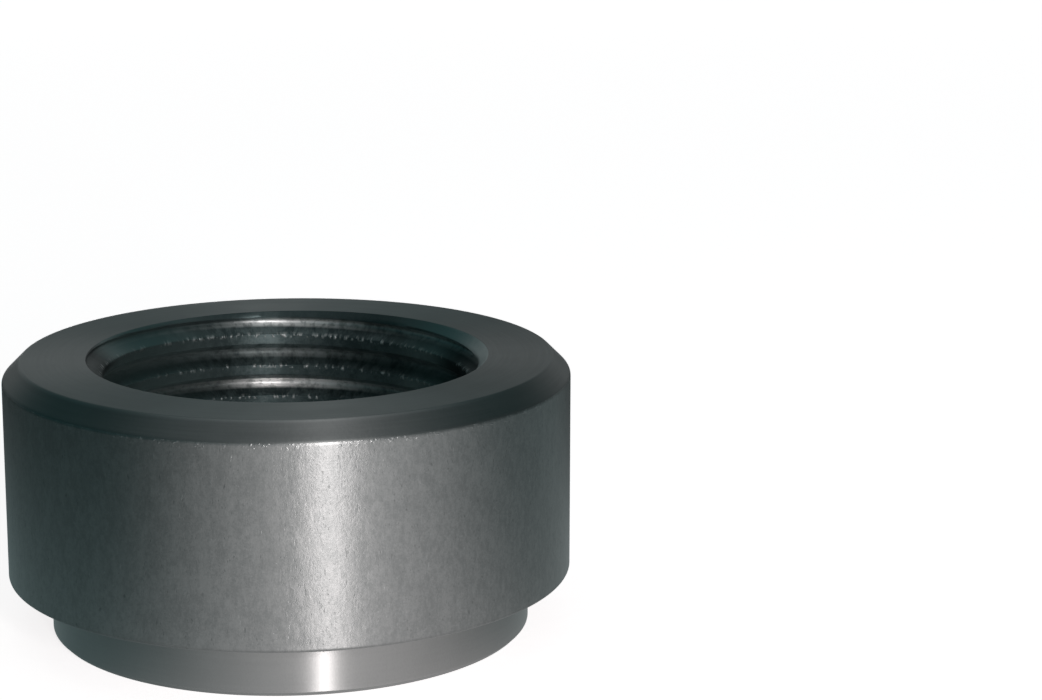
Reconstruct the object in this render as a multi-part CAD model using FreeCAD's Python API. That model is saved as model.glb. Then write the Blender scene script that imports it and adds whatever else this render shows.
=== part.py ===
import FreeCAD, Part
import math
import os

# Weld on bung: one turned steel ring with a threaded bore, a stepped spigot that
# drops into the hole cut for it, and a shoulder that is welded to the tube.
# Millimetres. The bore axis is +Z and the spigot's end stands on Z = 0.

# Thread: an 18 mm metric fine screw, right hand
thread_d = 18.0
thread_pitch = 1.5

# Ring, from the thread outwards
relief_gap = 0.95         # radial room round the screw inside the spigot
spigot_wall = 0.85
shoulder_width = 1.9      # ledge between the spigot and the outside
overall_h = 12.4
spigot_h = 2.6
relief_depth = 4.4        # unthreaded pocket, measured from the spigot's end

# Edges
outer_chamfer = 0.8       # 45 degrees, round the sealing face
thread_exit_chamfer = 0.5  # 45 degrees, where the thread runs out into the pocket
spigot_inner_bevel = 0.3  # 45 degrees, inside the spigot's end
spigot_outer_bevel = 0.2  # 45 degrees, outside the spigot's end
chamfer_blend_r = 0.3     # soft corner below the outer chamfer
shoulder_edge_r = 0.15
spigot_root_r = 0.15
relief_corner_r = 0.3

# Radii that follow from the sizes above
bore_r = (thread_d - thread_pitch) / 2  # drilled to the tapping size
mouth_r = thread_d / 2                  # countersunk to the screw's own diameter
relief_r = thread_d / 2 + relief_gap
spigot_r = relief_r + spigot_wall
outer_r = spigot_r + shoulder_width
mouth_chamfer = mouth_r - bore_r


def point(corner):
    """Place a (radius, height) corner in the XZ plane."""
    return FreeCAD.Vector(corner[0], 0, corner[1])


def rounded_profile(corners):
    """Closed wire through (radius, height, rounding) corners.

    A corner with a rounding becomes an arc tangent to its two sides: it starts
    and ends at rounding * tan(half the turn) from the corner.
    """
    ends = []
    for i, corner in enumerate(corners):
        here = point(corner)
        rounding = corner[2]
        back = (point(corners[i - 1]) - here).normalize()
        ahead = (point(corners[(i + 1) % len(corners)]) - here).normalize()
        if rounding == 0:
            ends.append((here, None, here))
            continue
        opening = back.getAngle(ahead)
        reach = rounding / math.tan(opening / 2)
        middle = (back + ahead).normalize()
        crown = here + middle * (rounding / math.sin(opening / 2) - rounding)
        ends.append((here + back * reach, crown, here + ahead * reach))
    edges = []
    for i, (start, crown, stop) in enumerate(ends):
        if crown is not None:
            edges.append(Part.Arc(start, crown, stop).toShape())
        following = ends[(i + 1) % len(ends)][0]
        edges.append(Part.makeLine(stop, following))
    return Part.Wire(edges)


def ring_section():
    """Half section of the ring, from the pocket's mouth round to its corner."""
    return [
        # spigot's end, bevelled inside and outside
        (relief_r, spigot_inner_bevel, 0),
        (relief_r + spigot_inner_bevel, 0, 0),
        (spigot_r - spigot_outer_bevel, 0, 0),
        (spigot_r, spigot_outer_bevel, 0),
        # spigot's root and the shoulder that the weld runs round
        (spigot_r, spigot_h, spigot_root_r),
        (outer_r, spigot_h, shoulder_edge_r),
        # outside, chamfer and sealing face
        (outer_r, overall_h - outer_chamfer, chamfer_blend_r),
        (outer_r - outer_chamfer, overall_h, 0),
        # countersink and threaded wall
        (mouth_r, overall_h, 0),
        (bore_r, overall_h - mouth_chamfer, 0),
        (bore_r, relief_depth + thread_exit_chamfer, 0),
        (bore_r + thread_exit_chamfer, relief_depth, 0),
        # pocket's floor and wall
        (relief_r, relief_depth, relief_corner_r),
    ]


def weld_bung():
    """Turn the section once round the bore axis."""
    face = Part.Face(rounded_profile(ring_section()))
    ring = face.revolve(FreeCAD.Vector(0, 0, 0), FreeCAD.Vector(0, 0, 1), 360)
    if ring.Volume < 0:
        ring = ring.reversed()
    return ring


os.makedirs("parts", exist_ok=True)
bung = weld_bung()
bung.exportStep("parts/weld_bung.step")
print("weld_bung", bung.ShapeType, "valid", bung.isValid(), "volume", round(bung.Volume, 2), "mm3")
print("outer diameter", round(2 * outer_r, 3), "spigot", round(2 * spigot_r, 3), "bore", round(2 * bore_r, 3))
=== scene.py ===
import math

import bpy
import numpy as np
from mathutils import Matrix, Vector


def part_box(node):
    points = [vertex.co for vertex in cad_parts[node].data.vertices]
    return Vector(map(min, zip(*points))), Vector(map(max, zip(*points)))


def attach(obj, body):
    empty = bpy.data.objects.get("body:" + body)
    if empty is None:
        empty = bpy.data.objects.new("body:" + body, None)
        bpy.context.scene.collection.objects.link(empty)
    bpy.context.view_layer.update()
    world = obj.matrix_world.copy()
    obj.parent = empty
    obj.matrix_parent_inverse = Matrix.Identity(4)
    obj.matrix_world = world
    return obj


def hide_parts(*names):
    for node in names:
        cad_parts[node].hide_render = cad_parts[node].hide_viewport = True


bl_info = {
    "name": "Weld on bung",
    "version": (1, 0, 0),
    "blender": (4, 5, 0),
    "location": "3D View > Sidebar > Bung",
    "description": "A turned steel weld on bung with a cut thread, and the studio it stands in",
    "category": "Object",
}

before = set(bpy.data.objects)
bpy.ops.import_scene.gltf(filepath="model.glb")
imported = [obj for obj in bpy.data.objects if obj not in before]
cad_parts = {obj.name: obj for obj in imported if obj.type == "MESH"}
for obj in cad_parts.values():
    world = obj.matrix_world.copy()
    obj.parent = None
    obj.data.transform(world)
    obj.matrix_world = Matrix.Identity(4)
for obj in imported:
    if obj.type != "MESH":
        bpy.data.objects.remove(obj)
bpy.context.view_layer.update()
NODE = "weld_bung"
ROW_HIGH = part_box(NODE)[1]

# Finish numbers of the faces, in the order of the material slots
BAR, TURNED, SPIGOT, THREAD, POCKET = range(5)

# Depth of the groove's middle under the face, at the back
GROOVE_DROP = 0.0005

# Roundings of the groove's root, of its edges, and of the countersink's corners
ROOT_ROUNDING = 0.00013
EDGE_ROUNDING = 0.000016
WALL_ROUNDING = 0.00002

# How far from the thread's radius the plain section starts below and ends above
LOW_LIP = 0.00012
HIGH_LIP = 0.00004

# Bevels of the spigot's end, inside and outside, and the rounding of the section's inner corners
INNER_BEVEL = 0.0003
OUTER_BEVEL = 0.0002
POCKET_ROUNDING = 0.0003
SHOULDER_ROUNDING = 0.00015

# Anisotropic rotation that stretches highlights across marks that run round the axis
ROUND_THE_AXIS = 0.25

# Height on the bung that the lamps are aimed at, and the key lamp's warm tint
AIM_HEIGHT = 0.006
KEY_TINT = (1.0, 0.965, 0.955)

BLACK = (0.0, 0.0, 0.0)
WHITE = (1.0, 1.0, 1.0)


# Sizes and colours

def length(name, description, default):
    """A size in metres."""
    return bpy.props.FloatProperty(
        name=name, description=description, default=default, min=0.0, unit="LENGTH", precision=5
    )


def angle(name, description, degrees):
    """An angle, given in degrees and kept in radians."""
    return bpy.props.FloatProperty(
        name=name, description=description, default=math.radians(degrees), unit="ROTATION"
    )


def share(name, description, default):
    """A number from nothing to one."""
    return bpy.props.FloatProperty(
        name=name, description=description, default=default, min=0.0, max=1.0, subtype="FACTOR"
    )


def level(name, description, default):
    """A strength of light, where one is white."""
    return bpy.props.FloatProperty(name=name, description=description, default=default, min=0.0)


def colour(name, description, default):
    """A linear colour."""
    return bpy.props.FloatVectorProperty(
        name=name, description=description, default=default, size=3, subtype="COLOR", min=0.0, max=1.0
    )


class BungSizes(bpy.types.PropertyGroup):
    """The bung's sizes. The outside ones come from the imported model."""

    outer_radius: length("Outside radius", "Radius of the bar", ROW_HIGH.x)
    height: length("Height", "From the spigot's end to the sealing face", ROW_HIGH.z)
    spigot_radius: length("Spigot radius", "Outside of the spigot", 0.0108)
    spigot_height: length("Spigot height", "From the spigot's end to the shoulder", 0.0026)
    thread_radius: length("Thread radius", "Radius at the bottom of the grooves", 0.009)
    thread_pitch: length("Thread pitch", "Height of one turn", 0.0015)
    bore_radius: length("Bore radius", "Radius at the crests", 0.00825)
    pocket_radius: length("Pocket radius", "Plain pocket under the thread", 0.00995)
    pocket_depth: length("Pocket depth", "From the spigot's end to the pocket's floor", 0.0044)
    chamfer: length("Chamfer", "Leg of the chamfer round the sealing face", 0.0008)
    blend: length("Blend", "Rounding under the chamfer", 0.0003)
    face_edge: length("Face edge", "Rounding between the face and the chamfer", 0.00014)
    thread_exit: length("Thread exit", "Leg of the chamfer at the thread's lower end", 0.0005)
    small_edge: length("Small edge", "Rounding of the spigot's bevels", 0.00006)


class BungFinish(bpy.types.PropertyGroup):
    """Colours and roughness of the steel."""

    bar_light: colour("Bar, light", "Drawn outside, light parts", (0.325, 0.323, 0.323))
    bar_dark: colour("Bar, dark", "Drawn outside, dark parts", (0.248, 0.250, 0.250))
    bar_bright: colour("Bar, bright", "Specks, scratches and torn edge", (0.440, 0.445, 0.445))
    # Pits, and also the painted shade line just above the shoulder
    pit_and_edge_shade: colour("Pits", "Small dark pits in the drawn outside", (0.070, 0.076, 0.077))
    face: colour("Turned faces", "Face, shoulder and foot", (0.300, 0.304, 0.304))
    chamfer: colour("Chamfer", "Round the sealing face", (0.222, 0.226, 0.226))
    spigot: colour("Spigot", "Freshly turned spigot", (0.362, 0.357, 0.356))
    thread: colour("Thread", "Flanks", (0.150, 0.183, 0.185))
    # Painted light: makes the thread's flanks paler at the left and right
    side: colour("Thread, sides", "Flanks left and right, drier than the back", (0.330, 0.390, 0.390))
    # Burnished steel, made paler still as a painted highlight in the grooves' roots
    root: colour("Thread's root", "Burnished bottom of the grooves", (0.920, 0.905, 0.900))
    oil: colour("Oil in the thread", "Dark film on the flanks", (0.058, 0.078, 0.080))
    # Painted shade at the bore's left and right ends
    painted_end_shade: colour("Thick oil", "At the bore's left and right ends", (0.016, 0.024, 0.025))
    burr: colour("Burrs", "Torn bright edge of the crests", (0.600, 0.600, 0.595))
    bar_roughness: share("Bar roughness", "Drawn outside", 0.39)
    face_roughness: share("Face roughness", "Turned faces", 0.46)
    spigot_roughness: share("Spigot roughness", "Spigot", 0.37)
    thread_roughness: share("Thread roughness", "Flanks and roots", 0.42)


class StudioSettings(bpy.types.PropertyGroup):
    """Camera, lamps and floor."""

    camera_place: bpy.props.FloatVectorProperty(
        name="Camera", description="Where the camera stands", size=3, subtype="TRANSLATION",
        default=(0.0104011, -0.1265013, 0.042054),
    )
    camera_down: angle("Camera pitch", "How far down the camera looks", 13.114)
    camera_roll: angle("Camera roll", "How far the camera leans", -0.127)
    lens: bpy.props.FloatProperty(name="Lens", description="Millimetres on a 36 mm sensor", default=100.0)
    floor_size: length("Floor", "Side of the square floor", 3.0)
    floor_colour: colour("Floor colour", "Pale floor", (0.80, 0.80, 0.80))
    floor_glow: colour("Floor glow", "Light the floor adds to what falls on it", (0.830, 0.80, 0.80))
    far_glow: colour("Far floor glow", "The same far away, where less falls on it", (0.890, 0.850, 0.850))
    key_power: level("Key lamp", "Watts of the tall lamp beside the camera", 0.86)
    key_azimuth: angle("Key azimuth", "How far right of the front the key lamp stands", 19.0)
    back_power: level("Back lamp", "Watts of the lamp behind, below the face", 0.24)
    wall_left: colour("Left wall", "What the steel mirrors on the left", (0.002, 0.058, 0.062))
    wall_right: colour("Right wall", "What the steel mirrors on the right", (0.004, 0.010, 0.010))
    wall_back: colour("Back wall", "What the steel mirrors behind", (0.268, 0.286, 0.288))
    wall_key: colour("Wall, key side", "Soft light round the key lamp", (0.77, 0.80, 0.81))
    ceiling: colour("Ceiling", "Light from above the walls", (0.035, 0.084, 0.086))
    zenith: colour("Zenith", "Light from straight above", (0.33, 0.37, 0.375))
    floor_left: colour("Floor, left", "What the steel mirrors of the floor", (0.002, 0.005, 0.005))
    floor_right: colour("Floor, right", "What the steel mirrors of the floor", (0.149, 0.207, 0.211))
    floor_back: colour("Floor, behind", "What the steel mirrors of the floor", (0.020, 0.026, 0.026))
    floor_key: colour("Floor, key side", "Soft light on the floor", (1.0, 0.965, 0.955))
    near_left: colour("Near floor, left", "Floor close by, as the steel sees it", (0.172, 0.242, 0.246))
    near_right: colour("Near floor, right", "Floor close by, as the steel sees it", (0.322, 0.368, 0.369))
    near_key: colour("Near floor, key side", "Soft light on the floor close by", (0.80, 0.735, 0.73))
    mirror_share: share("Mirror share", "How much of the white room the steel mirrors", 0.01)


# Surfaces

def soft_max(a, b, k):
    """The larger of a and b, rounded where they meet: half of a + b + sqrt((a - b)^2 + k^2)."""
    return 0.5 * (a + b + np.sqrt((a - b) ** 2 + k * k))


def soft_min(a, b, k):
    """The smaller of a and b, rounded where they meet."""
    return -soft_max(-a, -b, k)


def rounded_chain(start, corners, end, support=0.00003, step=math.radians(8)):
    """Points of an open profile with tangent arcs at its corners, and the finish of each run.

    A corner is (radius, height, rounding, finish of the run before it). An arc starts and
    ends at rounding * tan(half the turn) from its corner, and a support point lies just
    outside each end, so that smooth shading stays flat on the flat runs.
    """
    spots = [np.array(start)] + [np.array(c[:2]) for c in corners] + [np.array(end)]
    points, finishes = [spots[0][None]], []
    for i, corner in enumerate(corners, 1):
        here, rounding, finish = spots[i], corner[2], corner[3]
        back = spots[i - 1] - here
        ahead = spots[i + 1] - here
        back = back / np.linalg.norm(back)
        ahead = ahead / np.linalg.norm(ahead)
        opening = math.acos(float(back @ ahead))
        reach = rounding / math.tan(opening / 2)
        crown = (back + ahead) / np.linalg.norm(back + ahead)
        centre = here + crown * rounding / math.sin(opening / 2)
        turn = math.pi - opening
        count = max(3, math.ceil(turn / step))
        swing = np.linspace(-turn / 2, turn / 2, count + 1)[:, None]
        side = ahead - crown * float(ahead @ crown)
        side = side / np.linalg.norm(side)
        arc = centre - crown * rounding * np.cos(swing) + side * rounding * np.sin(swing)
        before = here + back * (reach + support)
        after = here + ahead * (reach + support)
        points += [before[None], arc, after[None]]
        half = (count + 1) // 2
        finishes += [finish] * (2 + half)
        finishes += [corners[i][3] if i < len(corners) else TURNED] * (count - half + 1)
    points.append(spots[-1][None])
    finishes.append(TURNED)
    return np.concatenate(points), np.array(finishes)


def bung_section(s):
    """Corners of the ring's section from the thread's lower end round to the bore's mouth."""
    inner = s.pocket_radius
    return [
        (inner, s.pocket_depth, POCKET_ROUNDING, POCKET),
        (inner, INNER_BEVEL, s.small_edge, POCKET),
        (inner + INNER_BEVEL, 0.0, s.small_edge, TURNED),
        (s.spigot_radius - OUTER_BEVEL, 0.0, s.small_edge, TURNED),
        (s.spigot_radius, OUTER_BEVEL, s.small_edge, TURNED),
        (s.spigot_radius, s.spigot_height, SHOULDER_ROUNDING, SPIGOT),
        (s.outer_radius, s.spigot_height, SHOULDER_ROUNDING, TURNED),
        (s.outer_radius, s.height - s.chamfer, s.blend, BAR),
        (s.outer_radius - s.chamfer, s.height, s.face_edge, TURNED),
    ]


def thread_wall(s, turn, z):
    """Radius of the threaded wall at an angle and a height.

    The groove's depth falls from the root to the crest at 60 degrees between the flanks,
    (half the groove's width - distance from the groove's middle) * sqrt 3, cut off at the
    thread's depth and at nothing. The wall is the deeper of that groove and the plain bore
    with its countersink above and its exit chamfer below.
    """
    depth = s.thread_radius - s.bore_radius
    top = s.height
    along = z - (top - GROOVE_DROP) - s.thread_pitch * (turn - math.pi / 2) / (2 * math.pi)
    away = np.abs(np.mod(along + s.thread_pitch / 2, s.thread_pitch) - s.thread_pitch / 2)
    half_width = s.thread_pitch / 16 + depth / math.sqrt(3)
    groove = (half_width - away) * math.sqrt(3)
    groove = soft_max(soft_min(groove, depth, ROOT_ROUNDING), 0.0, EDGE_ROUNDING)
    mouth = z - (top - depth)
    exit_cut = s.pocket_depth + s.thread_exit - z
    plain = np.maximum(np.maximum(mouth, exit_cut), 0.0)
    return s.bore_radius + soft_max(plain, groove, WALL_ROUNDING)


def helix_rows(s):
    """Heights of the thread's rows at angle nothing, with 40 rows to a turn.

    They crowd where the groove's root and the crests are rounded. Each row climbs one
    pitch in a turn, so a row's end is the start of the row 40 above it.
    """
    half = 1e-3 * np.array([
        0.0, 0.03, 0.055, 0.075, 0.09, 0.105, 0.125, 0.15, 0.19, 0.25,
        0.35, 0.43, 0.48, 0.505, 0.52, 0.535, 0.55, 0.575, 0.61, 0.67,
    ])
    mirrored = s.thread_pitch - np.append(half[1:], s.thread_pitch / 2)
    turn = np.sort(np.concatenate([half, mirrored]))
    base = s.height - GROOVE_DROP - s.thread_pitch / 4
    pitches = np.arange(-8, 3)[:, None] * s.thread_pitch
    rows = (base + pitches + turn).ravel()
    first = np.searchsorted(rows, s.pocket_depth - s.thread_pitch, side="right") - 1
    last = np.searchsorted(rows, s.height, side="left")
    return rows[first:last + 1], len(turn)


def bung_surface(s, columns=288):
    """Vertices, faces and finishes of the whole ring as one closed surface.

    The plain part is the rounded section carried round the axis. The thread is a grid
    whose rows climb with the helix, z = row + pitch * angle / full turn. Rows that pass
    the thread's ends fold into the ring of vertices there, and the last column is the
    first one, a turn's worth of rows higher.
    """
    low, high = s.pocket_depth, s.height
    angles = np.linspace(0, 2 * math.pi, columns, endpoint=False)
    corners = bung_section(s)
    chain, run_finish = rounded_chain(
        (s.thread_radius + LOW_LIP, low), corners, (s.thread_radius + HIGH_LIP, high)
    )
    radius = np.repeat(chain[:, :1], columns, axis=1)
    height = np.repeat(chain[:, 1:], columns, axis=1)
    low_ring = thread_wall(s, angles, np.full(columns, low))
    high_ring = thread_wall(s, angles, np.full(columns, high))
    radius = np.vstack([low_ring, radius, high_ring])
    height = np.vstack([np.full(columns, low), height, np.full(columns, high)])
    run_finish = np.concatenate([[POCKET], run_finish, [TURNED]])
    rings = len(radius)

    rows, per_turn = helix_rows(s)
    climb = s.thread_pitch * angles / (2 * math.pi)
    z = rows[:, None] + climb[None, :]
    near = 0.25 * s.thread_pitch / columns
    under = z <= low + near
    over = z >= high - near
    free = ~(under | over)
    index = np.empty(z.shape, int)
    index[free] = rings * columns + np.arange(free.sum())
    ring_columns = np.broadcast_to(np.arange(columns), z.shape)
    index[under] = ring_columns[under]
    index[over] = (rings - 1) * columns + ring_columns[over]
    seam = np.full(len(rows), (rings - 1) * columns)
    seam[:len(rows) - per_turn] = index[per_turn:, 0]
    index = np.hstack([index, seam[:, None]])

    turn_grid = np.broadcast_to(angles, z.shape)[free]
    wall = thread_wall(s, turn_grid, z[free])
    all_r = np.concatenate([radius.ravel(), wall])
    all_z = np.concatenate([height.ravel(), z[free]])
    all_a = np.concatenate([np.tile(angles, rings), turn_grid])
    points = np.stack([all_r * np.cos(all_a), all_r * np.sin(all_a), all_z], axis=1)

    ring = np.arange(rings * columns).reshape(rings, columns)
    ring = np.hstack([ring, ring[:, :1]])
    plain = np.stack([ring[:-1, :-1], ring[:-1, 1:], ring[1:, 1:], ring[1:, :-1]], axis=-1)
    plain = plain.reshape(-1, 4)
    plain_finish = np.repeat(run_finish, columns)

    cut = np.stack([index[:-1, :-1], index[1:, :-1], index[1:, 1:], index[:-1, 1:]], axis=-1)
    cut = cut.reshape(-1, 4)
    left_folded = cut[:, 0] == cut[:, 1]
    right_folded = cut[:, 2] == cut[:, 3]
    whole = cut[~left_folded & ~right_folded]
    left = cut[left_folded & ~right_folded][:, [0, 2, 3]]
    right = cut[right_folded & ~left_folded][:, [0, 1, 2]]
    faces = plain.tolist() + whole.tolist() + left.tolist() + right.tolist()
    thread_count = len(faces) - len(plain)
    finish = np.concatenate([plain_finish, np.full(thread_count, THREAD)])
    return points, faces, finish


def make_piece(name, points, faces, finish, materials):
    """One mesh object at the origin, smooth but for its sharp edges."""
    mesh = bpy.data.meshes.new(name)
    mesh.from_pydata(points.tolist(), [], faces)
    for material in materials:
        mesh.materials.append(material)
    mesh.polygons.foreach_set("material_index", finish.astype(np.int32))
    mesh.polygons.foreach_set("use_smooth", np.ones(len(faces), bool))
    mesh.set_sharp_from_angle(angle=math.radians(50))
    mesh.update()
    if mesh.validate():
        raise RuntimeError(name + " had faces that are not whole")
    piece = bpy.data.objects.new(name, mesh)
    bpy.context.scene.collection.objects.link(piece)
    return piece


# Shader maths

class Signal:
    """A socket of a node tree. Arithmetic on it adds Math nodes."""

    def __init__(self, bench, socket):
        self.bench = bench
        self.socket = socket

    def other(self, output):
        """Another output of the same node."""
        return Signal(self.bench, self.socket.node.outputs[output])

    def __add__(self, value):
        return self.bench.math("ADD", self, value)

    def __radd__(self, value):
        return self.bench.math("ADD", value, self)

    def __sub__(self, value):
        return self.bench.math("SUBTRACT", self, value)

    def __rsub__(self, value):
        return self.bench.math("SUBTRACT", value, self)

    def __mul__(self, value):
        return self.bench.math("MULTIPLY", self, value)

    def __rmul__(self, value):
        return self.bench.math("MULTIPLY", value, self)

    def __truediv__(self, value):
        return self.bench.math("DIVIDE", self, value)

    def __rtruediv__(self, value):
        return self.bench.math("DIVIDE", value, self)

    def __pow__(self, value):
        return self.bench.math("POWER", self, value)


class Bench:
    """Adds nodes to one tree."""

    def __init__(self, tree):
        self.tree = tree
        tree.nodes.clear()

    def node(self, kind, settings, values, output=0):
        """One node: its settings are set first, then its sockets get values or links."""
        made = self.tree.nodes.new(kind)
        for key, value in settings.items():
            setattr(made, key, value)
        for key, value in values.items():
            if isinstance(value, Signal):
                self.tree.links.new(value.socket, made.inputs[key])
            else:
                made.inputs[key].default_value = value
        return Signal(self, made.outputs[output]) if made.outputs else None

    def math(self, operation, *values):
        """A Math node."""
        return self.node("ShaderNodeMath", {"operation": operation}, dict(enumerate(values)))

    def mix(self, factor, a, b):
        """Colour a where the factor is nothing and b where it is one."""
        colours = [v if isinstance(v, Signal) else (*v, 1.0) for v in (a, b)]
        values = {0: factor, 6: colours[0], 7: colours[1]}
        return self.node("ShaderNodeMix", {"data_type": "RGBA"}, values, 2)

    def add(self, base, factor, extra):
        """A colour with a share of another one added."""
        settings = {"data_type": "RGBA", "blend_type": "ADD"}
        return self.node("ShaderNodeMix", settings, {0: factor, 6: base, 7: (*extra, 1.0)}, 2)

    def step(self, value, low, high, start=0.0, stop=1.0):
        """Rises smoothly from start to stop while the value goes from low to high."""
        settings = {"interpolation_type": "SMOOTHSTEP"}
        values = {"Value": value, "From Min": low, "From Max": high, "To Min": start, "To Max": stop}
        return self.node("ShaderNodeMapRange", settings, values)

    def noise(self, vector, detail=2.0, roughness=0.5):
        """Noise of unit size in the given coordinates, about one half."""
        values = {"Vector": vector, "Scale": 1.0, "Detail": detail, "Roughness": roughness}
        return self.node("ShaderNodeTexNoise", {}, values)

    def vector(self, x, y, z):
        """Three numbers as a vector."""
        return self.node("ShaderNodeCombineXYZ", {}, {"X": x, "Y": y, "Z": z})

    def separate(self, vector):
        """The three numbers of a vector."""
        x = self.node("ShaderNodeSeparateXYZ", {}, {"Vector": vector})
        return x, x.other("Y"), x.other("Z")

    def bump(self, height, distance, normal=None):
        """A normal bent by a height between nothing and one, times a distance in metres."""
        values = {"Height": height, "Distance": distance, "Strength": 1.0}
        if normal is not None:
            values["Normal"] = normal
        return self.node("ShaderNodeBump", {}, values)


class Turned(Bench):
    """A steel finish, with coordinates that run round the axis."""

    def __init__(self, name):
        self.material = bpy.data.materials.new(name)
        self.material.use_nodes = True
        super().__init__(self.material.node_tree)
        place = self.node("ShaderNodeTexCoord", {}, {}, "Object")
        self.x, self.y, self.z = self.separate(place)
        self.radius = self.math("SQRT", self.x * self.x + self.y * self.y)
        self.east = self.x / self.radius
        self.north = self.y / self.radius

    def wrapped(self, around, upright, shift=0.0):
        """Coordinates on a cylinder: around cells to a radius of arc, upright cells to a metre."""
        return self.vector(self.east * around + shift, self.north * around, self.z * upright)

    def rings(self, around, outward, shift=0.0):
        """Coordinates on a flat face: around cells to a radius of arc, outward cells to a metre."""
        return self.vector(self.east * around + shift, self.north * around, self.radius * outward)

    def steel(self, base, roughness, normal, anisotropy):
        """Ends the material with a metal of that colour, roughness, normal and stretch."""
        values = {
            "Base Color": base,
            "Metallic": 1.0,
            "Roughness": roughness,
            "Normal": normal,
            "Anisotropic": anisotropy,
            "Anisotropic Rotation": ROUND_THE_AXIS,
        }
        shader = self.node("ShaderNodeBsdfPrincipled", {}, values)
        self.node("ShaderNodeOutputMaterial", {}, {"Surface": shader})
        return self.material


def drawn_bar(f, s):
    """The bar's own skin: soft mottling, fine short upright dashes, grain, pits and scratches.

    The corner under the chamfer is torn into short bright rungs by the turning tool, and
    painted shade lays a dark line just above the shoulder.
    """
    t = Turned("drawn_bar")
    mottle = t.noise(t.wrapped(18, 850), 3.0, 0.6)
    blotch = t.noise(t.wrapped(62, 2900, 83.0), 2.0, 0.6)
    streak = t.noise(t.wrapped(95, 1500, 7.0), 2.0, 0.65)
    dash = t.noise(t.wrapped(150, 4800, 3.0), 2.0, 0.6)
    grain = t.noise(t.wrapped(280, 20000, 11.0), 1.0)
    patch = t.noise(t.wrapped(16, 700, 21.0), 2.0)
    pits = t.step(dash + (patch - 0.5) * 0.30, 0.61, 0.80)
    dots = t.noise(t.wrapped(105, 9500, 151.0), 1.0)
    holes = t.step(t.noise(t.wrapped(76, 2700, 131.0), 1.0), 0.70, 0.78)
    pits = t.math("MAXIMUM", pits, holes * 0.8)
    specks = t.step(t.noise(t.wrapped(170, 7000, 31.0), 1.0), 0.72, 0.80)
    scratches = t.step(t.noise(t.wrapped(120, 1600, 97.0), 1.0), 0.745, 0.80)
    corner = s.height - s.chamfer
    near_top = t.step(t.z, corner - 0.0004, corner - 0.0001)
    cluster = t.step(t.noise(t.wrapped(22, 900, 57.0), 1.0), 0.44, 0.58)
    rungs = t.step(t.noise(t.wrapped(85, 9000, 41.0), 1.0), 0.54, 0.68) * near_top * cluster
    bright = t.math("MINIMUM", specks * 0.35 + scratches * 0.35 + rungs * 0.35, 1.0)

    tone = mottle * 0.30 + blotch * 0.26 + streak * 0.06 + dash * 0.10 + dots * 0.16 + grain * 0.12
    base = t.mix(t.step(tone, 0.39, 0.61), f.bar_dark, f.bar_light)
    base = t.mix(pits * 0.32, base, f.pit_and_edge_shade)
    base = t.mix(bright, base, f.bar_bright)
    # Painted shade: a dark line on the wall just above the shoulder
    painted_edge_shade = t.step(t.z, s.spigot_height + 0.00020, s.spigot_height + 0.00006)
    base = t.mix(painted_edge_shade * 0.5, base, f.pit_and_edge_shade)
    rough = f.bar_roughness + (streak - 0.5) * 0.10 + (mottle - 0.5) * 0.08 + pits * 0.08
    wave = t.noise(t.wrapped(30, 800, 71.0), 2.0, 0.6)
    drawn = t.bump(wave, 0.000006)
    skin = streak * 0.15 + dash * 0.35 + dots * 0.35 + grain * 0.3 - pits * 0.35
    skin = t.bump(skin + specks * 0.2 + scratches * 0.3, 0.0000072, drawn)
    torn = t.bump(rungs, 0.000008, skin)
    return t.steel(base, rough, torn, 0.80)


def turned_face(f, s):
    """Faced with a fine tool: rings too fine to count, a little uneven round the turn.

    The flat face is paler than the chamfer, the shoulder and the foot, and painted shade
    darkens it towards the right.
    """
    t = Turned("turned_face")
    rings = t.noise(t.rings(2.5, 9000), 2.0, 0.6)
    broad = t.noise(t.rings(2.0, 1600, 5.0), 2.0)
    cloud = t.noise(t.rings(6.0, 500, 9.0), 2.0)
    grain = t.noise(t.rings(150, 9000, 13.0), 1.0)
    tone = t.step(rings * 0.35 + broad * 0.25 + cloud * 0.25 + grain * 0.15, 0.36, 0.64)
    flat = t.step(t.z, s.height - 0.00015, s.height - 0.00003)
    steel = t.mix(flat, f.chamfer, f.face)
    # Random darker tone, plus painted shade over the right of the flat face
    tone_and_painted_shade = (1 - tone) * 0.14 + flat * t.step(t.east, 0.5, 1.0) * 0.26
    base = t.mix(tone_and_painted_shade, steel, BLACK)
    rough = f.face_roughness + (broad - 0.5) * 0.06 + (grain - 0.5) * 0.08
    normal = t.bump(rings * 0.4 + grain * 0.6, 0.0000016)
    return t.steel(base, rough, normal, 0.70)


def turned_spigot(f, s):
    """Freshly turned: fine rings in height, smoother and brighter than the bar."""
    t = Turned("turned_spigot")
    rings = t.noise(t.wrapped(2.5, 9000), 2.0, 0.6)
    broad = t.noise(t.wrapped(8.0, 500, 5.0), 2.0)
    grain = t.noise(t.wrapped(190, 9000, 13.0), 1.0)
    tone = t.step(rings * 0.2 + broad * 0.4 + grain * 0.4, 0.36, 0.64)
    base = t.mix((1 - tone) * 0.10, f.spigot, BLACK)
    rough = f.spigot_roughness + (broad - 0.5) * 0.05 + (grain - 0.5) * 0.06
    normal = t.bump(rings * 0.3 + grain * 0.7, 0.0000008)
    return t.steel(base, rough, normal, 0.96)


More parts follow.
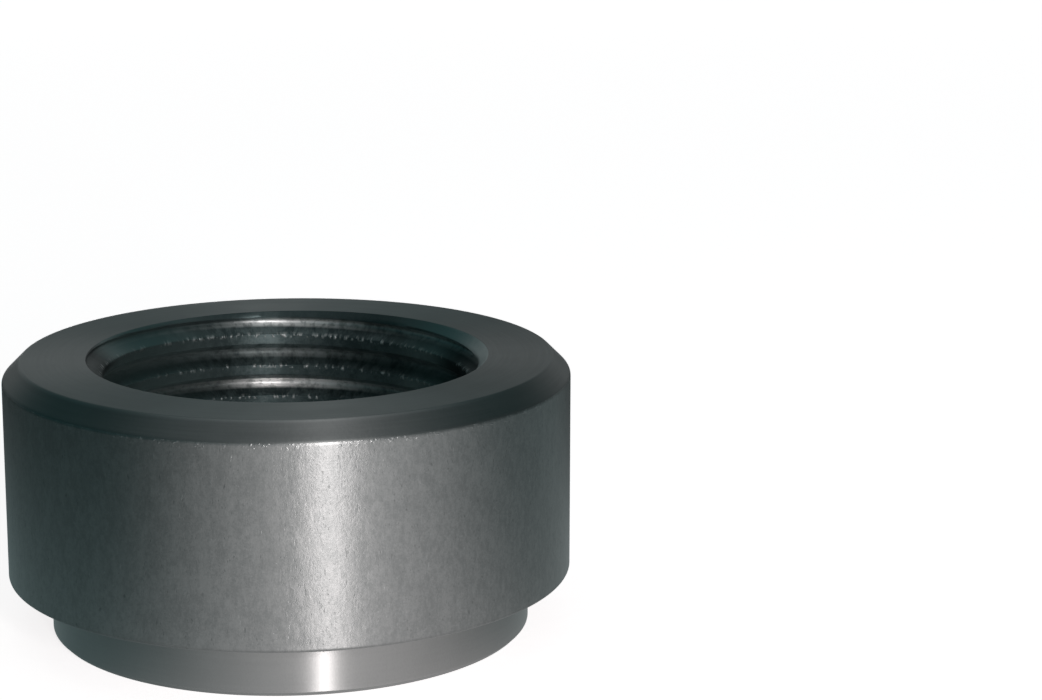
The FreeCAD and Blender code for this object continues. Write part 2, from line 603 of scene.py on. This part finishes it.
def cut_thread(f, s):
    """Tapped: burnished at the grooves' roots with a painted highlight, oily on the flanks, torn and
    rough on the crests.

    Burrs shine along the crests' upper edges, which lie at one height of the helix. The
    second turn's root is darker and rougher. Painted light makes the flanks paler at the left
    and right, and painted shade darkens the two ends of the bore's mouth.
    """
    t = Turned("cut_thread")
    patches = t.noise(t.wrapped(26, 3500), 2.0, 0.6)
    torn = t.noise(t.wrapped(110, 9000, 17.0), 1.0)
    cloud = t.noise(t.wrapped(5.0, 400, 23.0), 2.0)
    chips = t.noise(t.wrapped(44, 3000, 61.0), 1.0)
    turn = t.math("ARCTAN2", t.y, t.x) / (2 * math.pi)
    climb = (t.z - (s.height - GROOVE_DROP)) / s.thread_pitch - turn + 0.25
    phase = t.math("FRACT", climb + 0.5) - 0.5
    half_groove = 1 / 16 + (s.thread_radius - s.bore_radius) / math.sqrt(3) / s.thread_pitch
    edge = 1 - t.math("MINIMUM", t.math("ABSOLUTE", phase + half_groove + 0.01) / 0.09, 1.0)
    burrs = t.step(chips, 0.50, 0.72) * edge
    root = t.step(t.radius, s.thread_radius - 0.00032, s.thread_radius - 0.00014)
    crest = t.step(t.radius, s.bore_radius + 0.00010, s.bore_radius + 0.00002)
    depth = s.height - t.z
    mouth = t.step(depth, 0.0006, 0.0003)
    # The second turn's root is rougher and gets less of the painted highlight
    dull = t.step(depth, 0.0013, 0.0017) * t.step(depth, 0.0027, 0.0023)

    dry = t.step(cloud * 0.45 + patches * 0.35 + torn * 0.20, 0.40, 0.62)
    dry = dry * (1 - crest * 0.5) * (1 - mouth * 0.8)
    base = t.mix(dry, f.oil, f.thread)
    # Painted light: the flanks are made paler at the left and right
    right = t.step(t.east, 0.92, 0.77, 0.0, 0.6) * (1 - mouth) + mouth
    sides = t.step(t.east, -0.35, -0.95) + t.step(t.east, 0.4, 0.9) * right
    base = t.mix(sides, base, f.side)
    # Painted shade: darkens the bore's wall at its left and right ends
    left_end = t.step(t.north, 0.34, 0.06) * t.step(t.east, 0.0, -0.5)
    left_end = left_end * t.step(depth, 0.0012, 0.0008)
    right_end = t.step(t.east, 0.74, 0.90) * t.step(depth, 0.0006, 0.0010)
    base = t.mix(t.math("MAXIMUM", left_end * 0.95, right_end * 0.7), base, f.painted_end_shade)
    # Painted highlight: the roots' pale colour is strongest at the back and fades to the sides
    painted_highlight_fade = t.step(t.math("ABSOLUTE", t.east + 0.04), 0.08, 0.50, 1.0, 0.30)
    burnish_and_painted_highlight = root * (1 - dull * 0.85) * (1 - mouth) * painted_highlight_fade * t.step(patches, 0.34, 0.56, 0.55, 1.0)
    base = t.mix(burnish_and_painted_highlight, base, f.root)
    base = t.mix(burrs, base, f.burr)
    rough = f.thread_roughness + (patches - 0.5) * 0.12 + (crest - burrs) * 0.08
    rough = rough + root * (0.02 + dull * 0.14)
    normal = t.bump(patches * 0.3 + torn * (0.3 + crest * 0.3), 0.000004)
    normal = t.bump(burrs, 0.000018, normal)
    return t.steel(base, rough, normal, 0.75)


def bored_pocket(f, s):
    """Bored plain: coarse turning rings, dark with oil."""
    t = Turned("bored_pocket")
    rings = t.noise(t.wrapped(2.0, 7000), 2.0, 0.6)
    cloud = t.noise(t.wrapped(6.0, 500, 3.0), 2.0)
    grain = t.noise(t.wrapped(120, 5000, 19.0), 1.0)
    tone = t.step(rings * 0.4 + cloud * 0.4 + grain * 0.2, 0.36, 0.64)
    base = t.mix(tone, f.oil, f.face)
    rough = f.face_roughness + (cloud - 0.5) * 0.15
    normal = t.bump(rings * 0.8 + grain * 0.2, 0.000006)
    return t.steel(base, rough, normal, 0.3)


def key_side(bench, x, y, azimuth):
    """The cube of the cosine between a way on the level and the key lamp's, or nothing behind."""
    towards = x * math.sin(azimuth) - y * math.cos(azimuth)
    return bench.math("MAXIMUM", towards, 0.0) ** 3.0


def round_about(bench, x, y, azimuth, left, right, back, glow):
    """Light along a level way: left's colour to right's, then the back's, plus the key's glow."""
    sides = bench.mix(bench.step(x, -0.9, 0.7), left, right)
    walls = bench.mix(bench.step(y, 0.45, 0.95), sides, back)
    return bench.add(walls, key_side(bench, x, y, azimuth), glow)


def white_room(bench, share_of_mirrors):
    """One for camera and glass rays, a share of one for rays off the steel, else nothing."""
    camera = bench.node("ShaderNodeLightPath", {}, {}, "Is Camera Ray")
    glass = camera.other("Is Transmission Ray")
    mirrors = camera.other("Is Glossy Ray") * share_of_mirrors
    return bench.math("MINIMUM", camera + glass + mirrors, 1.0)


def floor_finish(p):
    """A pale matt floor that glows a little, so it shows white and keeps the shadow.

    It glows more far away, where less light falls on it. Rays that come from the steel see
    it dimmer, brighter on the right than on the left, with the key lamp's glow. From below
    it is clear.
    """
    material = bpy.data.materials.new("pale_floor")
    material.use_nodes = True
    b = Bench(material.node_tree)
    place = b.node("ShaderNodeTexCoord", {}, {}, "Object")
    x, y, z = b.separate(place)
    seen = white_room(b, p.mirror_share)
    glossy = b.node("ShaderNodeLightPath", {}, {}, "Is Glossy Ray")
    away = b.math("SQRT", x * x + y * y)
    near = b.mix(b.step(x / away, -0.9, 0.9), p.near_left, p.near_right)
    near = b.mix(b.step(y / away, 0.55, 0.95, 0.0, 0.45), near, p.floor_back)
    near = b.add(near, key_side(b, x / away, y / away, p.key_azimuth), p.near_key)
    colours = (p.floor_left, p.floor_right, p.floor_back, p.floor_key)
    far = round_about(b, x / away, y / away, p.key_azimuth, *colours)
    dim = b.mix(b.step(away, 0.014, 0.062), near, far)
    white = b.mix(b.step(away, 0.06, 0.50), p.floor_glow, p.far_glow)
    glow = b.mix(seen, dim, white)
    paint = b.mix(glossy, p.floor_colour, (0.03, 0.03, 0.03))
    grain = b.noise(b.vector(x * 900, y * 900, z), 2.0)
    normal = b.bump(grain, 0.00002)
    matt = b.node("ShaderNodeBsdfDiffuse", {}, {"Color": paint, "Normal": normal})
    lit = b.node("ShaderNodeEmission", {}, {"Color": glow, "Strength": 1.0})
    both = b.node("ShaderNodeAddShader", {}, {0: matt, 1: lit})
    behind = b.node("ShaderNodeNewGeometry", {}, {}, "Backfacing")
    clear = b.node("ShaderNodeBsdfTransparent", {}, {})
    end = b.node("ShaderNodeMixShader", {}, {0: behind, 1: both, 2: clear})
    b.node("ShaderNodeOutputMaterial", {}, {"Surface": end})
    return material


def room_light(p):
    """A white room to the camera, and a soft dim one to the steel.

    The dim room blends from the left wall to the right one, then to the back wall. It
    darkens towards the ceiling and is paler straight above.
    """
    world = bpy.data.worlds.new("studio")
    world.use_nodes = True
    bpy.context.scene.world = world
    b = Bench(world.node_tree)
    towards = b.node("ShaderNodeTexCoord", {}, {}, "Generated")
    x, y, z = b.separate(towards)
    colours = (p.wall_left, p.wall_right, p.wall_back, p.wall_key)
    walls = round_about(b, x, y, p.key_azimuth, *colours)
    dim = b.mix(b.step(z, 0.2, 0.65), walls, p.ceiling)
    dim = b.mix(b.step(z, 0.75, 0.95), dim, p.zenith)
    both = b.mix(white_room(b, p.mirror_share), dim, WHITE)
    back = b.node("ShaderNodeBackground", {}, {"Color": both, "Strength": 1.0})
    b.node("ShaderNodeOutputWorld", {}, {"Surface": back})


def lamp(name, azimuth, elevation, distance, wide, tall, power, tint=WHITE):
    """An area lamp aimed at the bung. Azimuth 0 stands on the camera's side, 90 on the right."""
    a, e = math.radians(azimuth), math.radians(elevation)
    target = Vector((0.0, 0.0, AIM_HEIGHT))
    way = Vector((math.sin(a) * math.cos(e), -math.cos(a) * math.cos(e), math.sin(e)))
    data = bpy.data.lights.new(name, "AREA")
    data.shape = "RECTANGLE"
    data.size = wide
    data.size_y = tall
    data.energy = power
    data.color = tint
    made = bpy.data.objects.new(name, data)
    bpy.context.scene.collection.objects.link(made)
    made.location = target + way * distance
    made.rotation_mode = "QUATERNION"
    made.rotation_quaternion = (-way).to_track_quat("-Z", "Y")
    made.visible_camera = False


# Operators

class BUNG_OT_ring(bpy.types.Operator):
    """Makes the bung: the turned ring with its thread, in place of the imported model's node"""

    bl_idname = "bung.make_ring"
    bl_label = "Make the bung"

    def execute(self, context):
        sizes = context.scene.bung_sizes
        finish = context.scene.bung_finish
        points, faces, numbers = bung_surface(sizes)
        makers = (drawn_bar, turned_face, turned_spigot, cut_thread, bored_pocket)
        materials = [maker(finish, sizes) for maker in makers]
        piece = make_piece("threaded_bung", points, faces, numbers, materials)
        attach(piece, "root")
        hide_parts(NODE)
        return {"FINISHED"}


class BUNG_OT_studio(bpy.types.Operator):
    """Makes the stage: floor, room light, lamps and camera"""

    bl_idname = "bung.make_studio"
    bl_label = "Make the studio"

    def execute(self, context):
        p = context.scene.bung_studio
        scene = context.scene
        scene.view_settings.view_transform = "Standard"
        half = p.floor_size / 2
        corners = half * np.array([(-1, -1, 0), (1, -1, 0), (1, 1, 0), (-1, 1, 0)])
        floor = make_piece("floor", corners, [[0, 1, 2, 3]], np.zeros(1), [floor_finish(p)])
        room_light(p)
        lamp(
            "key", azimuth=math.degrees(p.key_azimuth), elevation=13.0, distance=0.45,
            wide=0.03, tall=0.22, power=p.key_power, tint=KEY_TINT,
        )
        lamp(
            "back", azimuth=186.0, elevation=0.0, distance=0.45,
            wide=0.10, tall=0.010, power=p.back_power,
        )
        data = bpy.data.cameras.new("camera")
        data.sensor_width = 36.0
        data.lens = p.lens
        data.clip_start = 0.01
        data.clip_end = 10.0
        camera = bpy.data.objects.new("camera", data)
        scene.collection.objects.link(camera)
        camera.location = p.camera_place
        camera.rotation_euler = (math.pi / 2 - p.camera_down, p.camera_roll, 0.0)
        scene.camera = camera
        return {"FINISHED"}


class BUNG_PT_panel(bpy.types.Panel):
    """Lists the bung's pieces, sizes and colours."""

    bl_idname = "BUNG_PT_panel"
    bl_label = "Weld on bung"
    bl_space_type = "VIEW_3D"
    bl_region_type = "UI"
    bl_category = "Bung"

    def draw(self, context):
        layout = self.layout
        for operator in OPERATORS:
            layout.operator(operator.bl_idname)
        for slot_name, group in GROUPS.items():
            box = layout.box()
            for name in group.__annotations__:
                box.prop(getattr(context.scene, slot_name), name)


OPERATORS = (BUNG_OT_ring, BUNG_OT_studio)
GROUPS = {"bung_sizes": BungSizes, "bung_finish": BungFinish, "bung_studio": StudioSettings}
CLASSES = (*GROUPS.values(), *OPERATORS, BUNG_PT_panel)


def register():
    """Adds the classes and puts the settings on the scene."""
    for cls in CLASSES:
        bpy.utils.register_class(cls)
    for slot_name, group in GROUPS.items():
        setattr(bpy.types.Scene, slot_name, bpy.props.PointerProperty(type=group))


def unregister():
    """Takes the settings and the classes away again."""
    for slot_name in GROUPS:
        delattr(bpy.types.Scene, slot_name)
    for cls in reversed(CLASSES):
        bpy.utils.unregister_class(cls)


def main():
    """Makes everything in order."""
    register()
    bpy.ops.bung.make_ring()
    bpy.ops.bung.make_studio()


if __name__ == "__main__":
    main()
